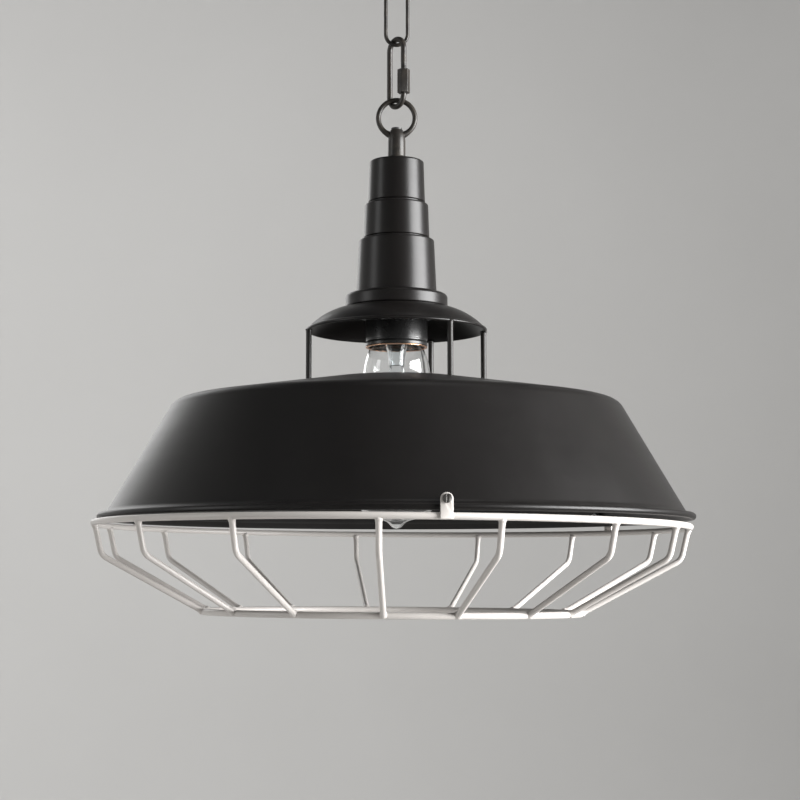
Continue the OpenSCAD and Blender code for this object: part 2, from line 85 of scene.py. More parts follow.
def corner(a, b, c, radius, n=5):
    """Arc that rounds the corner b of the path a, b, c: its centre lies on the corner's bisector."""
    a, b, c = (np.array(p, float) for p in (a, b, c))
    u, v = unit(a - b), unit(c - b)
    half = math.acos(float(np.clip(u @ v, -1, 1))) / 2
    centre = b + unit(u + v) * radius / math.sin(half)
    ends = [b + w * radius / math.tan(half) - centre for w in (u, v)]
    start, end = (math.degrees(math.atan2(e[1], e[0])) for e in ends)
    end = start + (end - start + 180) % 360 - 180
    return arc(centre, radius, start, end, n)


def curve(a, b, c, d, n):
    """Cubic curve from a to d with handles b and c, as n + 1 points of the Bernstein sum."""
    t = np.linspace(0, 1, n + 1)[:, None]
    s = 1 - t
    return s**3 * np.array(a) + 3 * s * s * t * np.array(b) + 3 * s * t * t * np.array(c) + t**3 * np.array(d)


def moved(path, distance):
    """The path moved to the right of its direction: each point goes along the mitre of its two edges."""
    step = np.diff(path, axis=0)
    step /= np.linalg.norm(step, axis=1)[:, None]
    left = np.c_[-step[:, 1], step[:, 0]]
    before, after = np.vstack([left[:1], left]), np.vstack([left, left[-1:]])
    mitre = before + after
    mitre /= np.linalg.norm(mitre, axis=1)[:, None]
    return path - mitre * distance / np.sum(mitre * before, axis=1)[:, None]


def supported(outline, near=0.35, step=6.0, closed=True):
    """The outline with points close to both ends of each long edge and evenly between them."""
    ends = np.roll(outline, -1, axis=0) if closed else outline[1:]
    pieces = []
    for a, b in zip(outline, ends):
        length = np.linalg.norm(b - a)
        inner = np.linspace(near, length - near, max(2, int(length / step) + 1)) if length > 3 * near else []
        t = np.r_[0.0, inner] / max(length, 1e-9)
        pieces.append(a + (b - a) * t[:, None])
    return np.vstack(pieces if closed else pieces + [outline[-1:]])


def sheet_outline(path, thickness):
    """Closed outline of a sheet that lies to the right of the path, with half-round edges."""
    other = moved(path, thickness)[::-1]
    half = thickness * 0.45
    tail = (path[-1] + other[0]) / 2 + unit(path[-1] - path[-2]) * half
    head = (path[0] + other[-1]) / 2 + unit(path[0] - path[1]) * half
    return np.vstack([path, [tail], other, [head]])


# ---------------------------------------------------------------- surfaces, as (points, four-sided faces)

def grid_faces(rows, columns, wrap_rows, wrap_columns):
    """Faces between neighbouring rows and columns of a grid whose points are numbered row by row."""
    index = np.arange(rows * columns).reshape(rows, columns)
    below = np.roll(index, -1, axis=0) if wrap_rows else index[1:]
    here = index if wrap_rows else index[:-1]
    if wrap_columns:
        here, below = np.c_[here, here[:, :1]], np.c_[below, below[:, :1]]
    return np.stack([here[:, :-1], here[:, 1:], below[:, 1:], below[:, :-1]], -1).reshape(-1, 4)


def outward(verts, faces):
    """The faces turned so that the enclosed volume, a sum of corner products, comes out positive."""
    a, b, c, d = (verts[faces[:, i]] for i in range(4))
    volume = np.sum(a * np.cross(b, c)) + np.sum(a * np.cross(c, d))
    return faces if volume > 0 else faces[:, ::-1]


def turned(outline, base=0.0, segments=192, ripple=None):
    """Surface of revolution: angle t and outline point (r, h) give (r sin t, -r cos t, base + h).

    ripple(t, h) is added to the radius."""
    t = np.linspace(0, 2 * np.pi, segments, endpoint=False)[:, None]
    r = outline[None, :, 0] + (ripple(t, outline[None, :, 1]) if ripple else 0)
    z = np.broadcast_to(base + outline[None, :, 1], (segments, len(outline)))
    verts = np.stack([r * np.sin(t), -r * np.cos(t), z], -1).reshape(-1, 3)
    faces = grid_faces(segments, len(outline), True, True)
    return verts, outward(verts, faces)


def tube(path, radius, side, closed=False, sides=16):
    """Round tube along a flat path: each ring is radius times (cosine of an angle along the path's own normal,
    sine along side), where side is square to the path's plane. Open ends are rounded over."""
    path = np.asarray(path, float)
    radius = np.broadcast_to(np.asarray(radius, float), (len(path),)).copy()
    if closed:
        along = np.roll(path, -1, axis=0) - np.roll(path, 1, axis=0)
    else:
        along = np.gradient(path, axis=0)
    along /= np.linalg.norm(along, axis=1)[:, None]
    if not closed:
        lean = np.radians([90, 80, 60, 35, 15])
        rounds = []
        for end, sign in ((0, -1), (-1, 1)):
            edge = radius[end] * 0.35
            shift = sign * edge * (np.sin(lean) - 1)
            ring_r = radius[end] - edge + edge * np.cos(lean)
            ring_r[0] = POLE
            rounds.append((path[end] + shift[:, None] * along[end], ring_r))
        keep = slice(1, -1)
        (head, head_r), (tail, tail_r) = rounds
        path = np.vstack([head[:1], head, path[keep], tail[::-1], tail[:1]])
        first_r = np.r_[POLE, radius[0] * 0.62, head_r[1:]]
        last_r = np.r_[tail_r[:0:-1], radius[-1] * 0.62, POLE]
        radius = np.r_[first_r, radius[keep], last_r]
        along = np.vstack([np.repeat(along[:1], 6, 0), along[keep], np.repeat(along[-1:], 6, 0)])
    side = unit(np.array(side, float))
    across = np.cross(side, along)
    across /= np.linalg.norm(across, axis=1)[:, None]
    a = np.linspace(0, 2 * np.pi, sides, endpoint=False)
    ring = np.cos(a)[None, :, None] * across[:, None] + np.sin(a)[None, :, None] * side
    verts = (path[:, None] + radius[:, None, None] * ring).reshape(-1, 3)
    faces = grid_faces(len(path), sides, closed, True)
    return verts, outward(verts, faces)


def spun_about(part, degrees):
    """The part turned about the lamp's axis, so that +X goes to a compass angle from the front."""
    a = math.radians(degrees - 90)
    turn = np.array([[math.cos(a), -math.sin(a), 0], [math.sin(a), math.cos(a), 0], [0, 0, 1]])
    return part[0] @ turn.T, part[1]


def upright(path, base=0.0):
    """Flat path of (x, height) as points of the XZ plane."""
    return np.c_[path[:, 0], np.zeros(len(path)), base + path[:, 1]]


# ---------------------------------------------------------------- pieces

def mesh_object(name, parts):
    """One mesh from several (points, faces) parts, in millimetres; doubled points at poles are merged."""
    offset = np.cumsum([0] + [len(v) for v, _ in parts[:-1]])
    verts = np.vstack([v for v, _ in parts]) * MM
    faces = np.vstack([f + o for (_, f), o in zip(parts, offset)])
    mesh = bpy.data.meshes.new(name)
    mesh.vertices.add(len(verts))
    mesh.vertices.foreach_set("co", verts.astype(np.float32).ravel())
    mesh.loops.add(faces.size)
    mesh.loops.foreach_set("vertex_index", faces.astype(np.int32).ravel())
    mesh.polygons.add(len(faces))
    mesh.polygons.foreach_set("loop_start", np.arange(0, faces.size, 4, dtype=np.int32))
    mesh.update(calc_edges=True)
    work = bmesh.new()
    work.from_mesh(mesh)
    bmesh.ops.remove_doubles(work, verts=work.verts, dist=4e-9)
    bmesh.ops.dissolve_degenerate(work, dist=1e-9, edges=work.edges)
    work.to_mesh(mesh)
    work.free()
    mesh.shade_smooth()
    mesh.set_sharp_from_angle(angle=math.radians(38))
    obj = bpy.data.objects.new(name, mesh)
    bpy.context.scene.collection.objects.link(obj)
    return obj


def softened(name, node, width, turn_limit=35):
    """Copy of a CAD node with its points merged, its flat faces joined and a small bevel on its edges."""
    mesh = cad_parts[node].data.copy()
    mesh.name = name
    work = bmesh.new()
    work.from_mesh(mesh)
    bmesh.ops.remove_doubles(work, verts=work.verts, dist=1e-6)
    bmesh.ops.dissolve_limit(work, angle_limit=math.radians(0.5), verts=work.verts, edges=work.edges)
    work.to_mesh(mesh)
    work.free()
    mesh.shade_smooth()
    obj = bpy.data.objects.new(name, mesh)
    bpy.context.scene.collection.objects.link(obj)
    bevel = obj.modifiers.new("edges", "BEVEL")
    bevel.width = width * MM
    bevel.segments = 2
    bevel.limit_method = "ANGLE"
    bevel.angle_limit = math.radians(turn_limit)
    bevel.use_clamp_overlap = True
    bevel.harden_normals = True
    return obj


def fit(obj, body, paint, slot, *nodes):
    """Gives a piece its finish and its body, and lets it stand for CAD nodes; the slot argument is not used."""
    obj.data.materials.clear()
    obj.data.materials.append(paint)
    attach(obj, body)
    if nodes:
        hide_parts(*nodes)
    return obj


def finish_node(node, paint):
    """A CAD node that stays as it is gets its finish."""
    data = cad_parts[node].data
    data.materials.clear()
    data.materials.append(paint)


# ---------------------------------------------------------------- finishes

class Number:
    """A socket that carries one number; + - and * on it add Math nodes."""

    def __init__(self, paint, socket):
        self.paint, self.socket = paint, socket

    def __add__(self, other):
        return self.paint.maths("ADD", self, other)

    def __sub__(self, other):
        return self.paint.maths("SUBTRACT", self, other)

    def __rsub__(self, other):
        return self.paint.maths("SUBTRACT", other, self)

    def __mul__(self, other):
        return self.paint.maths("MULTIPLY", self, other)

    __radd__ = __add__
    __rmul__ = __mul__

    def above(self, low, high):
        """0 up to low and 1 from high on, with a smooth step between."""
        made = self.paint.node("ShaderNodeMapRange", {"interpolation_type": "SMOOTHSTEP"},
                               {"Value": self, "From Min": low, "From Max": high})
        return Number(self.paint, made["Result"])


class Paint:
    """A material around one Principled shader, with the few nodes that the finishes use."""

    def __init__(self, name, constants):
        self.material = bpy.data.materials.new(name)
        self.material.use_nodes = True
        self.tree = self.material.node_tree
        self.shader = next(n for n in self.tree.nodes if n.type == "BSDF_PRINCIPLED")
        for socket, value in constants.items():
            self.shader.inputs[socket].default_value = value
        self.place = self.node("ShaderNodeTexCoord", {}, {})["Object"]

    def node(self, kind, settings, inputs):
        made = self.tree.nodes.new(kind)
        for key, value in settings.items():
            setattr(made, key, value)
        for key, value in inputs.items():
            self.feed(made.inputs[key], value)
        return made.outputs

    def feed(self, socket, value):
        if isinstance(value, Number):
            self.tree.links.new(value.socket, socket)
        elif isinstance(value, bpy.types.NodeSocket):
            self.tree.links.new(value, socket)
        else:
            socket.default_value = value

    def maths(self, operation, a, b=0.0):
        return Number(self, self.node("ShaderNodeMath", {"operation": operation}, {0: a, 1: b})[0])

    def noise(self, scale, detail=3.0, rough=0.5):
        """Cloudy pattern in space, about 0 to 1 with its middle at 0.5; scale is in waves to a metre."""
        made = self.node("ShaderNodeTexNoise", {}, {"Vector": self.place, "Scale": scale, "Detail": detail,
                                                   "Roughness": rough})
        return Number(self, made[0])

    def rings(self, scale):
        """Fine circles round the lamp's axis: a noise along the line radius plus height."""
        x, y, z = (Number(self, s) for s in self.node("ShaderNodeSeparateXYZ", {}, {"Vector": self.place}))
        radius = self.maths("SQRT", x * x + y * y)
        made = self.node("ShaderNodeTexNoise", {"noise_dimensions": "1D"},
                         {"W": radius + z * 0.7, "Scale": scale, "Detail": 2.0})
        return Number(self, made[0])

    def facing_up(self):
        """1 where the surface looks up, 0 where it is upright or looks down."""
        normal = self.node("ShaderNodeNewGeometry", {}, {})["Normal"]
        z = self.node("ShaderNodeSeparateXYZ", {}, {"Vector": normal})["Z"]
        return Number(self, z).above(0.35, 0.95)

    def mixed(self, share, first, second):
        return self.node("ShaderNodeMix", {"data_type": "RGBA"}, {0: share, 6: first, 7: second})[2]

    def use(self, **values):
        for socket, value in values.items():
            self.feed(self.shader.inputs[socket.replace("_", " ")], value)

    def bump(self, height, distance, strength=1.0):
        made = self.node("ShaderNodeBump", {}, {"Height": height, "Distance": distance, "Strength": strength})
        self.feed(self.shader.inputs["Normal"], made["Normal"])


def rgb(r, g, b):
    return (r, g, b, 1.0)


def black_paint(name, tone, rough, turned_marks=0.0, dust=0.5):
    """Satin black paint: clouds in tone and gloss, fine orange peel, faint turning marks and a little dust."""
    p = Paint(name, {"Specular IOR Level": 0.27})
    cloud = p.noise(26, 4)
    peel = p.noise(1300, 2)
    speck = p.noise(520, 5, 0.7).above(0.64, 0.74)
    dark, light = rgb(*tone), rgb(*(1.5 * c for c in tone))
    worn = p.mixed(speck * 0.25, p.mixed(cloud, dark, light), rgb(0.05, 0.047, 0.043))
    settled = p.facing_up() * p.noise(60, 5, 0.6).above(0.3, 0.8) * (0.16 * dust)
    marks = p.rings(900)
    p.use(Base_Color=p.mixed(settled, worn, rgb(0.23, 0.21, 0.19)),
          Roughness=rough + (cloud - 0.5) * 0.10 + speck * 0.12 + (marks - 0.5) * 0.10 * turned_marks)
    p.bump(peel * 0.6 + marks * 0.5 * turned_marks, 0.00006, 0.55)
    return p.material


def worn_chain(name):
    """Black coated steel of the chain: browner where it is handled, with small bright rubs."""
    p = Paint(name, {"Specular IOR Level": 0.36})
    cloud = p.noise(140, 5, 0.6)
    rub = p.noise(700, 4, 0.65).above(0.60, 0.70)
    coat = p.mixed(cloud.above(0.35, 0.7), rgb(0.013, 0.012, 0.011), rgb(0.034, 0.029, 0.024))
    p.use(Base_Color=p.mixed(rub * 0.6, coat, rgb(0.10, 0.09, 0.08)), Metallic=rub * 0.55 + 0.12,
          Roughness=0.36 + (cloud - 0.5) * 0.25 - rub * 0.06)
    p.bump(cloud * 0.5 + p.noise(1600, 2) * 0.5, 0.00012, 0.7)
    return p.material


def powder_coat(name):
    """Off-white powder coat: fine orange peel, slight yellowing in clouds and grey grime in specks."""
    p = Paint(name, {"Specular IOR Level": 0.5, "Coat Roughness": 0.2})
    cloud = p.noise(22, 4)
    grime = p.noise(330, 6, 0.7).above(0.62, 0.80)
    white = p.mixed(cloud, rgb(0.57, 0.54, 0.515), rgb(0.52, 0.49, 0.465))
    p.use(Base_Color=p.mixed(grime * 0.35, white, rgb(0.42, 0.38, 0.34)),
          Roughness=0.34 + (cloud - 0.5) * 0.12 + grime * 0.2)
    p.bump(p.noise(1500, 2), 0.00009, 0.6)
    return p.material


def moulded(name, tone, rough):
    """Moulded phenolic or plastic: even tone, faint flow clouds and fine grain."""
    p = Paint(name, {"Specular IOR Level": 0.5})
    cloud = p.noise(60, 4)
    p.use(Base_Color=p.mixed(cloud, rgb(*tone), rgb(*(1.35 * c for c in tone))),
          Roughness=rough + (cloud - 0.5) * 0.12)
    p.bump(p.noise(2200, 2), 0.00003, 0.5)
    return p.material


def metal(name, tone, rough, stains=0.3, grain=900):
    """Bare or plated metal: cloudy gloss, darker stains and a fine grain."""
    p = Paint(name, {"Metallic": 1.0})
    cloud = p.noise(180, 5, 0.6)
    stain = p.noise(90, 5, 0.65).above(0.5, 0.8)
    p.use(Base_Color=p.mixed(stain * stains, rgb(*tone), rgb(*(0.45 * c for c in tone))),
          Roughness=rough + (cloud - 0.5) * 0.2 + stain * 0.1)
    p.bump(p.noise(grain, 3), 0.00003, 0.6)
    return p.material


def clear_glass(name, tint, rough):
    """Clear blown glass with faint draw marks and a breath of dust in its roughness."""
    p = Paint(name, {"Transmission Weight": 1.0, "IOR": 1.46})
    smear = p.noise(45, 4).above(0.5, 0.85)
    p.use(Base_Color=p.mixed(smear, rgb(*tint), rgb(*(0.985 * c for c in tint))),
          Roughness=rough + smear * 0.03)
    p.bump(p.noise(38, 2), 0.00025, 0.35)
    return p.material


def glazed(name):
    """White glazed ceramic: smooth, slightly cream, with a few dark pinholes."""
    p = Paint(name, {"Coat Roughness": 0.08})
    pin = p.noise(900, 2).above(0.74, 0.78)
    p.use(Base_Color=p.mixed(pin, rgb(0.80, 0.79, 0.74), rgb(0.25, 0.22, 0.18)), Roughness=0.22 + pin * 0.3)
    p.bump(p.noise(120, 3), 0.0001, 0.4)
    return p.material


shade_paint = black_paint("shade satin black", (0.0040, 0.0034, 0.0032), 0.37, turned_marks=0.4, dust=0.15)
cover_paint = black_paint("cover satin black", (0.0040, 0.0034, 0.0032), 0.32, turned_marks=0.5, dust=0.15)
fitting_paint = black_paint("fitting black", (0.013, 0.012, 0.011), 0.38, dust=0.6)
chain_coat = worn_chain("chain worn black")
white_coat = powder_coat("cage powder coat")
phenolic = moulded("holder phenolic", (0.010, 0.010, 0.010), 0.28)
black_glass = moulded("cap black glass", (0.008, 0.008, 0.010), 0.12)
nylon = moulded("bush nylon", (0.022, 0.022, 0.022), 0.5)
zinc = metal("zinc plate", (0.60, 0.61, 0.62), 0.34)
dark_zinc = metal("dark screw", (0.13, 0.125, 0.12), 0.38)
brass = metal("contact brass", (0.74, 0.55, 0.27), 0.3)
copper = metal("copper rim", (0.72, 0.42, 0.27), 0.28, stains=0.5)
nickel = metal("cap nickel", (0.72, 0.71, 0.68), 0.26)
bright_wire = metal("bright wire", (0.70, 0.70, 0.72), 0.2, stains=0.1)
tungsten = metal("filament wire", (0.33, 0.27, 0.21), 0.42, stains=0.4, grain=4000)
envelope_glass = clear_glass("envelope glass", (0.985, 0.992, 0.995), 0.0)
inner_glass = clear_glass("stem glass", (0.95, 0.975, 0.985), 0.05)
ceramic = glazed("glazed ceramic")


# ---------------------------------------------------------------- shade and hanger rods

NECK_R, NECK_H = 46.0, 84.0
SHOULDER_R, SHOULDER_H = 135.5, 69.5
CONE_FOOT = (SHADE_R - RIM_BEAD - 4, 3.2)
ROD_ANGLES = (36, 96, 156, 276)
ROD_CIRCLE_R = 54.0
ROD_R = 1.75
DOME_R, DOME_RIM_H, DOME_TOP_H = 55.5, 115.3, 129.0


def shade_top_at(r):
    return NECK_H - (r - NECK_R) * (NECK_H - SHOULDER_H) / (SHOULDER_R - NECK_R)


def main_shade():
    """Spun cone with a rounded shoulder, a shallow top with an open neck, and a rolled rim."""
    bead = (SHADE_R - RIM_BEAD, 0.0)
    neck, shoulder, tail = (NECK_R, NECK_H), (SHOULDER_R, SHOULDER_H), (bead[0], 0.6)
    path = np.vstack([
        [neck], corner(neck, shoulder, CONE_FOOT, 9, 12), corner(shoulder, CONE_FOOT, tail, 5, 6),
        [(bead[0] - 1.6, 1.7)]])
    inside = moved(path, SHEET)[::-1]
    rolled = arc(bead, RIM_BEAD, 118, -148, 20)
    lip = [(path[0] + inside[-1]) / 2 - (0.45, 0)]
    outline = supported(np.vstack([path, rolled, inside[1:], lip]), step=5)
    return mesh_object("shade_shell", [turned(outline, RIM_Z, 384)])


def hanger_rods():
    """Four straight rods with a flared weld where each meets the dome's lip and a peened foot."""
    foot, head = shade_top_at(ROD_CIRCLE_R) - 7, DOME_RIM_H + 0.3
    h = np.r_[foot, np.linspace(foot + 1, head - 4, 8), np.linspace(head - 3, head, 7)]
    flare = 0.55 * np.exp(-(head - h) / 0.9)
    path = np.c_[np.full(len(h), ROD_CIRCLE_R), np.zeros(len(h)), RIM_Z + h]
    rod = tube(path, ROD_R + flare, (0, 1, 0), sides=24)
    return mesh_object("stay_rods", [spun_about(rod, a) for a in ROD_ANGLES])


fit(main_shade(), "lamp", shade_paint, "shade_black", "main_shade")
fit(hanger_rods(), "lamp", fitting_paint, "fitting_black", "hanger_rods")
fit(softened("stay_nuts", "rod_nuts", 0.3), "lamp", fitting_paint, "fitting_black", "rod_nuts")


# ---------------------------------------------------------------- dome, flange and stepped cover

FLANGE_R, FLANGE_T = 31.4, 9.0
TIER_H = (33.5, 22.5, 27.1)
TIER_FOOT_R = (24.7, 20.3, 17.6)
TIER_HEAD_R = (23.2, 19.6, 16.8)
HOLDER_R, HOLDER_H = 19.0, 105.0
STEM_THREAD_R = 5.0               # M10 stem through the cover and the holder's head
COVER_FOOT_H = DOME_TOP_H + FLANGE_T
COVER_TOP_H = COVER_FOOT_H + sum(TIER_H)


def collar_dome():
    """Shallow spun dome: flat top, a long curve down to the lip, and the lip rolled under."""
    start = (FLANGE_R - 1, DOME_TOP_H)
    lip_r = 0.9
    path = np.vstack([
        [(HOLDER_R + 0.3, DOME_TOP_H)],
        curve(start, (FLANGE_R + 9, DOME_TOP_H - 1.2), (DOME_R - 6, DOME_RIM_H + 6.5),
              (DOME_R - 1, DOME_RIM_H + 0.6), 18)])
    inside = moved(path, SHEET)[::-1]
    rolled = arc((DOME_R - lip_r, DOME_RIM_H), lip_r, 60, -160, 12)
    outline = supported(np.vstack([path[:-1], rolled, inside[1:]]), near=0.3, step=4)
    return mesh_object("dome_shell", [turned(outline, RIM_Z, 256)])


def cover_flange():
    """Turned ring with a rounded crown and a small radius at its foot."""
    low, high, inner = DOME_TOP_H, COVER_FOOT_H, 23.0
    foot, edge, crown = (FLANGE_R, low), (FLANGE_R, high - 1.2), (FLANGE_R - 4, high)
    outline = np.vstack([
        [(inner, low)], corner((inner, low), foot, edge, 1.0), corner(foot, edge, crown, 2.2, 8),
        corner(edge, crown, (inner, high), 1.2, 4), [(inner, high)]])
    return mesh_object("flange_ring", [turned(supported(outline, 0.2, 3), RIM_Z, 192)])


def holder_cover():
    """Three stepped tiers, each with a round shoulder at its head and a fine groove at its foot."""
    h = COVER_FOOT_H + np.cumsum((0,) + TIER_H)
    foot, head, groove, edge, wall, bore = TIER_FOOT_R, TIER_HEAD_R, 0.6, 1.2, 1.5, STEM_THREAD_R + 0.05
    steps = [[(foot[0], h[0])], corner((foot[0], h[0]), (head[0], h[1]), (foot[1], h[1]), edge, 6)]
    for tier in (1, 2):
        after = foot[tier + 1] if tier < 2 else bore
        rise = points((foot[tier] - groove, h[tier]), (foot[tier] - groove, h[tier] + 0.9))
        sill, top = (foot[tier], h[tier] + 1.6), (head[tier], h[tier + 1])
        steps += [rise, corner(rise[1], sill, top, 0.35, 3), corner(sill, top, (after, h[tier + 1]), edge, 6)]
    steps += [[(bore, h[3])], [(bore, h[3] - wall)], [(head[2] - wall, h[3] - wall)],
              [(foot[2] - wall - groove, h[2] - wall)], [(head[1] - wall, h[2] - wall)],
              [(foot[1] - wall - groove, h[1] - wall)], [(head[0] - wall, h[1] - wall)],
              [(foot[0] - wall, h[0])]]
    return mesh_object("stepped_cover", [turned(supported(np.vstack(steps), 0.25, 4), RIM_Z, 192)])


fit(collar_dome(), "lamp", cover_paint, "cover_black", "collar_dome")
fit(cover_flange(), "lamp", cover_paint, "cover_black", "cover_flange")
fit(holder_cover(), "lamp", cover_paint, "cover_black", "holder_cover")


# ---------------------------------------------------------------- lamp holder

HOLDER_IN_R = HOLDER_R - 2.5
CAP_FOOT_H = HOLDER_H + 7
CAP_HEAD_H = CAP_FOOT_H + 22.5
CAP_R = 13.05
THREAD_PITCH, THREAD_DEPTH = 3.63, 0.55
GRIP_RIBS = 60
INSERT_H = HOLDER_H + 33


def thread(t, h):
    """Round thread: the depth times a cosine that goes once round for each pitch, never above zero."""
    return THREAD_DEPTH * (np.cos(2 * np.pi * h / THREAD_PITCH + t) - 1) / 2


def holder_body():
    """Moulded holder shell: skirt with a beaded mouth, seat flange and domed head."""
    seat, top, bore = DOME_TOP_H, HOLDER_H + 61, STEM_THREAD_R + 0.05
    mouth = [(HOLDER_R - 1.6, HOLDER_H), (HOLDER_R - 0.4, HOLDER_H), (HOLDER_R, HOLDER_H + 0.4)]
    bead = np.c_[HOLDER_R + np.zeros(7), HOLDER_H + np.linspace(2.0, 4.4, 7)]
    bead[:, 0] -= 0.35 * np.sin(np.linspace(0, np.pi, 7))
    outline = np.vstack([
        mouth, bead,
        [(HOLDER_R, seat), (HOLDER_R + 3.5, seat), (HOLDER_R + 3.5, seat + 2), (HOLDER_R, seat + 2)],
        [(HOLDER_R, top - 16)],
        curve((HOLDER_R, top - 16), (HOLDER_R, top - 11), (15, top - 6), (7.5, top - 4), 8)[1:],
        [(7.5, top), (bore, top), (bore, top - 6.5), (9, top - 8), (HOLDER_IN_R, top - 16),
         (HOLDER_IN_R, HOLDER_H + 2)]])
    return mesh_object("holder_shell", [turned(supported(outline, 0.2, 4), RIM_Z, 160)])


def holder_trim():
    """Thin rolled rim at the holder's mouth."""
    low, high = HOLDER_H - 0.6, HOLDER_H
    outline = np.vstack([arc((HOLDER_R - 0.3, (low + high) / 2), 0.3, 90, -90, 6),
                         arc((HOLDER_R - 1.3, (low + high) / 2), 0.3, 270, 90, 6)])
    return mesh_object("holder_rim", [turned(outline, RIM_Z, 128)])


def shade_ring():
    """Ring nut under the dome, with sixty grip ribs round it."""
    low, high, outer, bore = DOME_TOP_H - 6, DOME_TOP_H - 1, HOLDER_R + 4.5, HOLDER_R + 0.05
    outline = np.vstack([[(bore, low)], corner((bore, low), (outer, low), (outer, high), 0.8),
                         corner((outer, low), (outer, high), (bore, high), 0.8), [(bore, high)]])
    outline = supported(outline, 0.2, 1.0)
    ribbed = (np.abs(outline[None, :, 0] - outer) < 0.3)

    def grip(t, h):
        """Depth of the ribs: a cosine of sixty times the angle, on the outer wall between its edges."""
        return -0.25 * (1 + np.cos(GRIP_RIBS * t)) * (ribbed & (h > low + 0.5) & (h < high - 0.5))

    return mesh_object("clamp_ring", [turned(outline, RIM_Z, 8 * GRIP_RIBS, grip)])


def screw_shell():
    """Thin brass shell with the holder's round thread rolled into it."""
    length, wall, play = 24, 0.4, 0.3
    h = np.linspace(INSERT_H - length, INSERT_H, 90)
    inner = np.c_[np.full(len(h), CAP_R + play + THREAD_DEPTH), h]
    outer = (inner + (wall, 0))[::-1]
    return mesh_object("thread_shell", [turned(np.vstack([inner, outer]), RIM_Z, 96, thread)])


fit(holder_body(), "lamp", phenolic, "holder_plastic", "holder_body")
fit(holder_trim(), "lamp", copper, "copper_trim", "holder_trim")
fit(shade_ring(), "lamp", phenolic, "holder_plastic", "shade_ring")
fit(screw_shell(), "lamp", brass, "contact_brass", "screw_shell")
finish_node("holder_insert", ceramic)
finish_node("centre_contact", brass)
finish_node("terminal_screws", brass)
finish_node("eye_washer", zinc)
finish_node("eye_locknut", zinc)
finish_node("cable_bush", nylon)


# ---------------------------------------------------------------- cage

WIRE_ANGLES = (-1.9, 18.7, 42.2, 64, 87, 109.5, 136.7, 160.4, 188.5, 214.9, 237.9, 260.9, 284.5, 309.7, 332.6)
WIRE_R, RING_WIRE_R = 1.7, 1.9
TOP_RING = (SHADE_R - 1, -5.2)
KNEE = (174.5, -24.4)
MOUTH_RING = (114.0, -57.0)
CAGE_ASIDE, CAGE_LEAN, CAGE_PITCH = -2.7, 0.4, 0.15


def hung_aside(part):
    """The part as the cage hangs: turned about the X and then the Y line through the top ring's middle, then
    moved along X."""
    verts, faces = part
    lean, pitch, pivot = math.radians(CAGE_LEAN), -math.radians(CAGE_PITCH), RIM_Z + TOP_RING[1]
    x, y, z = verts[:, 0], verts[:, 1], verts[:, 2] - pivot
    y, z = y * math.cos(pitch) - z * math.sin(pitch), y * math.sin(pitch) + z * math.cos(pitch)
    hung = np.stack([x * math.cos(lean) + z * math.sin(lean) + CAGE_ASIDE, y,
                     pivot - x * math.sin(lean) + z * math.cos(lean)], -1)
    return hung, faces


def ring_of_wire(name, place):
    """Closed ring of round wire."""
    section = arc(place, RING_WIRE_R, 0, 360, 24)[:-1]
    return mesh_object(name, [hung_aside(turned(section, RIM_Z, 320))])


def cage_wires():
    """Bent wires: down from the top ring, round the knee and in to the bottom ring. The radius grows towards each
    end by a weld that dies away with the distance from the ring, and shrinks inside the ring."""
    bend = corner(TOP_RING, KNEE, MOUTH_RING, 8, 12)
    first, last = np.array(TOP_RING), np.array(MOUTH_RING)
    down = first + (bend[0] - first) * (np.r_[0, 1.0, 2, 2.6, 3.2, 4, 6, 9, 13] / 18)[:, None]
    along_in = np.r_[60, 45, 30, 18, 10, 6, 4.6, 3.8, 3.0, 2.2, 1.2, 0] / 64
    inward = last + (bend[-1] - last) * along_in[:, None]
    flat = np.vstack([down, bend, inward])
    from_top = np.linalg.norm(flat - first, axis=1)
    from_mouth = np.linalg.norm(flat - last, axis=1)
    weld = sum(0.75 * np.exp(-np.maximum(away - 1.6, 0) / 0.9) for away in (from_top, from_mouth))
    radius = WIRE_R + weld - 0.6 * (np.minimum(from_top, from_mouth) < 1.2)
    wire = tube(upright(flat, RIM_Z), radius, (0, 1, 0), sides=20)
    return mesh_object("cage_bars", [hung_aside(spun_about(wire, angle)) for angle in WIRE_ANGLES])


fit(ring_of_wire("cage_ring_upper", TOP_RING), "lamp", white_coat, "cage_white", "cage_top_ring")
fit(ring_of_wire("cage_ring_lower", MOUTH_RING), "lamp", white_coat, "cage_white", "cage_bottom_ring")
fit(cage_wires(), "lamp", white_coat, "cage_white", "cage_wires")
fit(softened("cage_lugs", "cage_tabs", 0.35), "lamp", white_coat, "cage_white", "cage_tabs")
fit(softened("lug_screws", "tab_screws", 0.2), "lamp", dark_zinc, "screw_dark", "tab_screws")
fit(softened("lug_nuts", "tab_nuts", 0.2), "lamp", zinc, "zinc_steel", "tab_nuts")


# ---------------------------------------------------------------- chain, quick link and eye

def wire_box(node):
    """Lowest and highest points of a node, in millimetres."""
    low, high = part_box(node)
    return np.array(low) / MM, np.array(high) / MM


def oval(top, low, bend):
    """Oval from four stretches: half circle, leg, half circle, leg; heights are those of the wire's centre."""
    leg = np.linspace(0, 1, 14)[1:-1, None]
    right, left = top - bend, low + bend
    return np.vstack([
        arc((0, right), bend, 0, 180, 24), points((-bend, right)) + leg * points((0, left - right)),
        arc((0, left), bend, 180, 360, 24), points((bend, left)) + leg * points((0, right - left))])


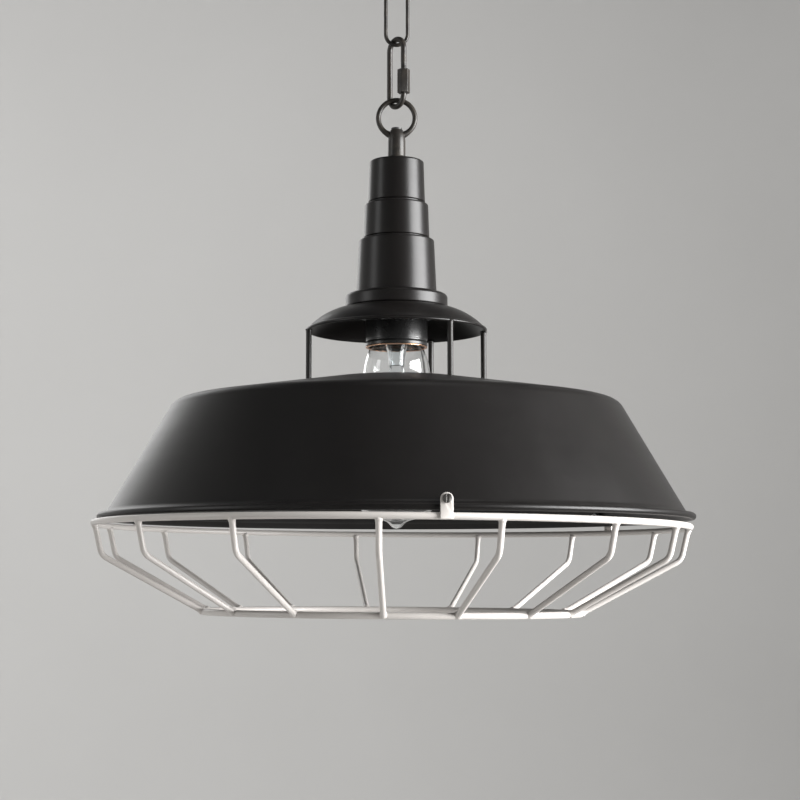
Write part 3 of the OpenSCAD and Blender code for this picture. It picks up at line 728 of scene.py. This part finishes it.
def chain_link(name, node, turn):
    """Oval link of round wire with a slight swell on one leg where it is welded."""
    low, high = wire_box(node)
    wire_r = min(high[:2] - low[:2]) / 2
    bend = max(high[:2] - low[:2]) / 2 - wire_r
    path = oval(high[2] - wire_r, low[2] + wire_r, bend)
    middle = (low[2] + high[2]) / 2
    swell = 0.14 * np.exp(-((path[:, 1] - middle) / 1.1) ** 2) * (path[:, 0] < 0)
    wire = tube(upright(path), wire_r + swell, (0, 1, 0), True, 24)
    return mesh_object(name, [spun_about(wire, 90 + turn)])


QUICK_TURN = -50.0
QUICK_W, QUICK_WIRE_R = 17.0, 1.75


def quick_link():
    """Open oval with a threaded stretch beside its gap: the thread is a row of fine grooves in the radius."""
    low, high = wire_box("quick_link")
    nut_low = wire_box("quick_link_nut")[0][2]
    bend = QUICK_W / 2 - QUICK_WIRE_R
    top, foot = high[2] - QUICK_WIRE_R, low[2] + QUICK_WIRE_R
    gap_low, gap_high = nut_low + 3, nut_low + 9
    leg_up = np.linspace(gap_high, top - bend, 60)
    leg_down = np.linspace(foot + bend, gap_low, 14)
    left = np.linspace(top - bend, foot + bend, 14)[1:-1]
    path = np.vstack([
        np.c_[np.full(60, bend), leg_up], arc((0, top - bend), bend, 0, 180, 24)[1:],
        np.c_[np.full(12, -bend), left], arc((0, foot + bend), bend, 180, 360, 24),
        np.c_[np.full(14, bend), leg_down][1:]])
    threaded = (path[:, 0] > bend - 0.01) & (path[:, 1] > gap_high - 0.1) & (path[:, 1] < gap_high + 11)
    radius = QUICK_WIRE_R - 0.12 * threaded * (1 + np.cos(2 * np.pi * path[:, 1] / 0.7)) / 2
    wire = tube(upright(path), radius, (0, 1, 0), sides=24)
    return mesh_object("quick_link_wire", [spun_about(wire, 90 + QUICK_TURN)])


EYE_WIRE_R = 1.6
STEM_R, STEM_L = 5.5, 20.3


def suspension_eye():
    """Cast eye: a ring that thickens towards its foot, on a hollow stem with a small collar."""
    low, high = wire_box("suspension_eye")
    ring_r = (high[0] - low[0]) / 2 - EYE_WIRE_R
    centre = high[2] - EYE_WIRE_R - ring_r
    a = np.linspace(0, 360, 97)[:-1]
    path = np.c_[ring_r * np.cos(np.radians(a)), centre + ring_r * np.sin(np.radians(a))]
    radius = EYE_WIRE_R + 1.3 * np.exp(-(((a - 270) / 26) ** 2))
    foot, neck_r, bore = COVER_TOP_H, STEM_THREAD_R, 2.6
    end = HOLDER_H + 54
    tip = (STEM_R - 1.7, foot + STEM_L)
    outline = np.vstack([
        [(bore, end), (neck_r - 0.5, end), (neck_r, end + 0.6), (neck_r, foot)],
        corner((neck_r, foot), (STEM_R + 0.5, foot), (STEM_R + 0.5, foot + 2), 0.3, 3),
        corner((STEM_R + 0.5, foot), (STEM_R + 0.5, foot + 2), (STEM_R, foot + 2.6), 0.3, 3),
        curve((STEM_R, foot + 3), (STEM_R - 0.1, foot + 10), (STEM_R + 0.2, foot + 14),
              (STEM_R - 0.6, foot + 17), 8),
        corner((STEM_R - 0.6, foot + 17), tip, (bore, foot + STEM_L), 0.8, 4), [(bore, foot + STEM_L)]])
    stem = turned(supported(outline, 0.25, 4), RIM_Z, 96)
    return mesh_object("cast_eye", [tube(upright(path), radius, (0, 1, 0), True, 28), stem])


fit(chain_link("link_upper_wire", "chain_link_upper", 90),
    "upper_link", chain_coat, "chain_black", "chain_link_upper")
fit(chain_link("link_lower_wire", "chain_link_lower", 0),
    "lower_link", chain_coat, "chain_black", "chain_link_lower")
fit(quick_link(), "quick_link", chain_coat, "chain_black", "quick_link")
fit(softened("sleeve_nut", "quick_link_nut", 0.45), "link_nut", chain_coat, "chain_black", "quick_link_nut")
fit(suspension_eye(), "lamp", chain_coat, "chain_black", "suspension_eye")


# ---------------------------------------------------------------- ceiling fitting

def canopy_cup():
    """Spun cup: upright rim with a rolled edge, then one long curve in to the flat round the hook's hole."""
    depth = -wire_box("canopy_cup")[0][2]
    edge = np.array([(CUP_R, -0.4), (CUP_R, -5.0)])
    path = np.vstack([
        edge, curve(edge[1], (CUP_R - 1, -19), (CUP_R * 0.62, -depth + 1), (16, -depth), 20)[1:],
        [(3.2, -depth)]])
    return mesh_object("cup_shell", [turned(supported(sheet_outline(path, 0.8), 0.3, 4), 0.0, 224)])


HOOK_COLLAR_DEPTH = 31.0          # from the ceiling down to the foot of the hook's collar


def ceiling_hook():
    """Bent hook with a round tip, under a turned collar and a threaded shank."""
    low, high = wire_box("ceiling_hook")
    wire_r, bend, collar_foot = 2.0, 9.0, -HOOK_COLLAR_DEPTH
    centre = (0.0, low[2] + wire_r + bend)
    hook = arc(centre, bend, -190, 90, 56)
    path = np.vstack([hook[:-1], [(0, centre[1] + bend), (0, collar_foot + 0.5)]])
    path[-2] = (0.3, centre[1] + bend + 0.1)
    wire = tube(upright(path), wire_r, (0, 1, 0), sides=24)
    head = collar_foot + 3
    collar = np.vstack([
        [(POLE, collar_foot)], corner((0, collar_foot), (7, collar_foot), (7, head), 1.2),
        corner((7, collar_foot), (7, head), (3, head), 0.4, 3), [(3, head)]])
    h = np.linspace(head, high[2] - 0.4, 190)
    shank = np.c_[3.0 - 0.18 * (1 + np.cos(2 * np.pi * h / 1.0)) / 2, h]
    outline = np.vstack([collar, shank, [(2.5, high[2]), (POLE, high[2])]])
    return mesh_object("hook_wire", [wire, turned(outline, 0.0, 64)])


fit(canopy_cup(), "ceiling_fitting", fitting_paint, "fitting_black", "canopy_cup")
fit(ceiling_hook(), "ceiling_fitting", fitting_paint, "fitting_black", "ceiling_hook")
fit(softened("cross_strap", "crossbar", 0.35), "ceiling_fitting", zinc, "zinc_steel", "crossbar")
fit(softened("hook_nut", "hook_locknut", 0.4), "ceiling_fitting", zinc, "zinc_steel", "hook_locknut")


# ---------------------------------------------------------------- bulb

BULB_R, GLASS_T = 32.0, 0.8
STEM_LOW_H = 84.0
FILAMENT_HIGH_H, FILAMENT_LOW_H, FILAMENT_R, FILAMENT_LEGS = 80.0, 26.0, 11.0, 8


def bulb_glass():
    """Teardrop envelope blown from one outline and a second one a wall's thickness inside it."""
    waist, widest, flat = (20.5, HOLDER_H - 15), (BULB_R, 46.0), (14.0, -0.2)
    path = np.vstack([
        [(12.6, CAP_FOOT_H + 3)],
        curve((12.6, CAP_FOOT_H), (13.4, CAP_FOOT_H - 4.5), (18.8, CAP_FOOT_H - 7.5), waist, 18),
        curve(waist, (22.6, HOLDER_H - 27), (BULB_R, 64), widest, 30)[1:],
        curve(widest, (BULB_R, 24), (25, 1.5), flat, 30)[1:],
        curve(flat, (8, -1.4), (6.2, -1.8), (4.6, -3.6), 12)[1:],
        curve((4.6, -3.6), (3.4, -5.6), (1.4, -6.5), (0, -6.5), 12)[1:]])
    inside = moved(path, GLASS_T)
    inside[-1] = (0, -6.5 + GLASS_T)
    path[-1, 0] = inside[-1, 0] = POLE
    return mesh_object("bulb_envelope", [turned(np.vstack([path, inside[::-1]]), RIM_Z, 160)])


def bulb_cap():
    """Rolled cap: the round thread between a plain foot and a domed head."""
    wall = 0.35
    foot, head = CAP_FOOT_H, CAP_HEAD_H
    h = np.r_[foot, foot + 0.8, np.linspace(foot + 1.6, head - 3.2, 96), head - 2.4]
    skirt = np.c_[np.full(len(h), CAP_R), h]
    dome = curve((CAP_R, head - 1.8), (CAP_R, head - 0.6), (CAP_R - 0.8, head), (CAP_R - 2, head), 6)
    outline = np.vstack([skirt, dome, [(6, head), (6, head - wall), (CAP_R - 2.4, head - wall)],
                         np.c_[np.full(len(h), CAP_R - wall), h][::-1]])
    skirted = outline[None, :, 0] > CAP_R - 1

    def rolled(t, z):
        """The thread, on the skirt between its plain ends."""
        return thread(t, z) * (skirted & (z > foot + 1.2) & (z < head - 3.0))

    return mesh_object("cap_thread", [turned(outline, RIM_Z, 96, rolled)])


def blunt(s, power):
    """A cosine or sine brought nearer to 1 or -1 by a power below 1, with its sign kept."""
    return np.sign(s) * np.abs(s) ** power


def bulb_stem():
    """Stem glass: a flare sealed into the neck, a flat pinch under it, and a rod with a button on its end. The
    pinch is an ellipsoid whose cosines and sines are raised to small powers, which makes it boxy."""
    top = CAP_FOOT_H + 2.6
    flare = np.vstack([
        [(2.4, top), (11.6, top)],
        curve((11.2, top - 1), (9, CAP_FOOT_H - 3), (5.4, CAP_FOOT_H - 6), (4.8, STEM_LOW_H + 9), 14),
        [(3.8, STEM_LOW_H + 9)],
        curve((3.9, STEM_LOW_H + 9), (4.4, CAP_FOOT_H - 7), (8, CAP_FOOT_H - 3), (9.4, top - 1), 14)[1:],
        [(2.4, top - 1)]])
    u = np.linspace(0, 2 * np.pi, 40, endpoint=False)[None, :]
    v = np.linspace(-np.pi / 2, np.pi / 2, 24)[:, None]
    pinch = np.stack([4.7 * blunt(np.cos(v), 0.35) * blunt(np.cos(u), 0.5),
                      1.7 * blunt(np.cos(v), 0.35) * blunt(np.sin(u), 0.5),
                      RIM_Z + STEM_LOW_H + 4.8 + 5.0 * blunt(np.sin(v), 0.5) + 0 * u], -1).reshape(-1, 3)
    pinch_faces = grid_faces(24, 40, False, True)
    rod_foot = FILAMENT_LOW_H + 6
    rod = np.vstack([
        [(POLE, STEM_LOW_H + 2), (1.5, STEM_LOW_H + 2), (1.5, rod_foot + 2.4)],
        arc((0, rod_foot), 2.3, 50, -89.9, 14), [(POLE, rod_foot - 2.3)]])
    return mesh_object("stem_glasswork", [turned(flare, RIM_Z, 96), (pinch, outward(pinch, pinch_faces)),
                                          turned(rod, RIM_Z, 48)])


def lead_wires():
    """Two lead-in wires: up through the pinch, and from it out to the first and middle hooks."""
    parts = []
    for side in (-1, 1):
        low = curve((side * 3.4, STEM_LOW_H), (side * 3.6, STEM_LOW_H - 3), (side * 7, FILAMENT_HIGH_H + 1.2),
                    (side * FILAMENT_R, FILAMENT_HIGH_H), 12)
        high = points((side * 3.4, STEM_LOW_H + 7), (side * 3.4, STEM_LOW_H + 16), (side * 3.4, CAP_FOOT_H + 0.2))
        parts += [tube(upright(low, RIM_Z), 0.35, (0, 1, 0), sides=8),
                  tube(upright(high, RIM_Z), 0.3, (0, 1, 0), sides=8)]
    return mesh_object("lead_in_wires", parts)


def support_hook(reach, start_h, end_h):
    """Thin wire that leaves the glass rod and ends in a small open hook."""
    out = curve((1.3, start_h), (4, start_h), (reach - 4, end_h + 0.6), (reach - 0.6, end_h + 0.3), 8)
    hook = arc((reach, end_h), 0.55, 150, -90, 10)
    return tube(upright(np.vstack([out, hook]), RIM_Z), 0.16, (0, 1, 0), sides=8)


def filament_supports():
    """Hooks above and below: the upper ones leave the pinch, the lower ones the button."""
    parts = []
    for i in range(FILAMENT_LEGS):
        angle = i * 360 / FILAMENT_LEGS
        if i % (FILAMENT_LEGS // 2):
            parts.append(spun_about(support_hook(FILAMENT_R, FILAMENT_HIGH_H - 1, FILAMENT_HIGH_H), angle + 90))
        low = support_hook(FILAMENT_R * 0.8, FILAMENT_LOW_H + 8.4, FILAMENT_LOW_H)
        parts.append(spun_about(low, angle + 180 / FILAMENT_LEGS + 90))
    return mesh_object("support_hooks", parts)


def filament():
    """Squirrel-cage filament: straight strands between upper and lower hooks, open between its two ends."""
    steps, turns = 90, 44
    parts = []
    for i in range(FILAMENT_LEGS):
        high_a = 2 * np.pi * i / FILAMENT_LEGS
        for turn in (-1, 1):
            if i == 0 and turn < 0:
                continue
            low_a = high_a + turn * np.pi / FILAMENT_LEGS
            ends = np.array([
                (FILAMENT_R * np.cos(high_a), FILAMENT_R * np.sin(high_a), RIM_Z + FILAMENT_HIGH_H),
                (0.8 * FILAMENT_R * np.cos(low_a), 0.8 * FILAMENT_R * np.sin(low_a), RIM_Z + FILAMENT_LOW_H)])
            s = np.linspace(0, 1, steps)[:, None]
            path = ends[0] * (1 - s) + ends[1] * s
            path[:, :2] *= 1 + 0.05 * np.sin(np.pi * s)
            coil = 0.2 + 0.05 * np.sin(np.linspace(0, 2 * np.pi * turns, steps))
            radial = unit(np.r_[path[steps // 2, :2], 0])
            parts.append(tube(path, coil, np.cross(unit(ends[1] - ends[0]), radial), sides=8))
    return mesh_object("filament_strands", parts)


def bulb_contact():
    """Solder button with a soft crown on its short rivet."""
    h = CAP_HEAD_H + 3
    outline = np.vstack([
        [(POLE, CAP_HEAD_H - 2), (0.95, CAP_HEAD_H - 2), (0.95, h), (4.6, h)],
        curve((4.6, h + 0.3), (4.4, h + 1.4), (2.4, h + 1.9), (POLE, h + 1.9), 8)])
    return mesh_object("contact_button", [turned(outline, RIM_Z, 48)])


fit(bulb_glass(), "bulb", envelope_glass, "bulb_glass", "bulb_glass")
fit(bulb_cap(), "bulb", nickel, "cap_metal", "bulb_cap")
fit(bulb_stem(), "bulb", inner_glass, "stem_glass", "bulb_stem")
fit(lead_wires(), "bulb", bright_wire, "lead_nickel", "lead_wires")
fit(filament_supports(), "bulb", bright_wire, "lead_nickel", "filament_supports")
fit(filament(), "bulb", tungsten, "filament_wire", "filament")
fit(bulb_contact(), "bulb", nickel, "cap_metal", "bulb_contact")
finish_node("bulb_insulator", black_glass)


# ---------------------------------------------------------------- floor, lights and camera

WALL_R = 2900.0
LAMP_MIDDLE = (0, 0, RIM_Z + 80)


def stage():
    """Round studio: a pale floor disc that curves up into an upright wall all the way round, open at the top. Its
    outline of (radius, height) is turned about the lamp's axis."""
    floor_z, wall_top, bend, segments = RIM_Z - 1200, RIM_Z + 3200, 900.0, 96
    outline = np.vstack([points((POLE, floor_z), (900, floor_z)),
                         arc((WALL_R - bend, floor_z + bend), bend, -90, 0, 24), points((WALL_R, wall_top))])
    verts, _ = turned(outline, 0.0, segments)
    faces = grid_faces(segments, len(outline), True, False)[:, ::-1]
    obj = mesh_object("studio_floor", [(verts, faces)])
    p = Paint("pale floor", {"Roughness": 0.8, "Specular IOR Level": 0.1})
    p.use(Base_Color=p.mixed(p.noise(3, 3), rgb(0.55, 0.545, 0.535), rgb(0.58, 0.575, 0.565)))
    obj.data.materials.append(p.material)


def softbox(name, place, target, size, power, spread=180):
    """Rectangular area light that faces the target; spread, in degrees, is how widely it fans out."""
    light = bpy.data.lights.new(name, "AREA")
    light.shape = "RECTANGLE"
    light.size, light.size_y = (s * MM for s in size)
    light.energy = power
    light.spread = math.radians(spread)
    obj = bpy.data.objects.new(name, light)
    bpy.context.scene.collection.objects.link(obj)
    where, at = (np.array(p, float) * MM for p in (place, target))
    obj.location = where
    obj.rotation_euler = Vector(at - where).to_track_quat("-Z", "Y").to_euler()
    obj.visible_camera = False


def camera():
    data = bpy.data.cameras.new("camera")
    data.lens = CAMERA_LENS
    data.sensor_width = CAMERA_SENSOR
    data.clip_start, data.clip_end = 0.05, 50
    obj = bpy.data.objects.new("camera", data)
    bpy.context.scene.collection.objects.link(obj)
    obj.location = (CAMERA_ASIDE * MM, -CAMERA_AWAY * MM, (RIM_Z + CAMERA_OVER_RIM) * MM)
    obj.rotation_euler = (math.radians(90 + CAMERA_PITCH), 0, 0)
    bpy.context.scene.camera = obj


camera()
stage()
softbox("key_right", (1500, -450, RIM_Z + 250), LAMP_MIDDLE, (1300, 1200), 62, spread=130)
softbox("fill_left", (-1700, -600, RIM_Z + 300), LAMP_MIDDLE, (500, 1400), 7)
softbox("kick_back", (-900, 1500, RIM_Z + 700), LAMP_MIDDLE, (700, 1000), 4)
softbox("top_soft", (300, -200, RIM_Z + 1900), LAMP_MIDDLE, (900, 900), 2.5)
for side, power in ((0, 17), (90, 9), (180, 5), (270, 7)):
    outwards = np.array([math.sin(math.radians(side)), math.cos(math.radians(side)), 0])
    softbox(f"wall_wash_{side}", 900 * outwards + (0, 0, RIM_Z + 1500),
            WALL_R * outwards + (0, 0, RIM_Z + 100), (2600, 600), power)
world = bpy.data.worlds.new("studio")
world.use_nodes = True
backdrop = next(n for n in world.node_tree.nodes if n.type == "BACKGROUND")
backdrop.inputs["Color"].default_value = rgb(0.93, 0.95, 1.0)
backdrop.inputs["Strength"].default_value = 0.08
bpy.context.scene.world = world
bpy.context.scene.view_settings.view_transform = "Standard"
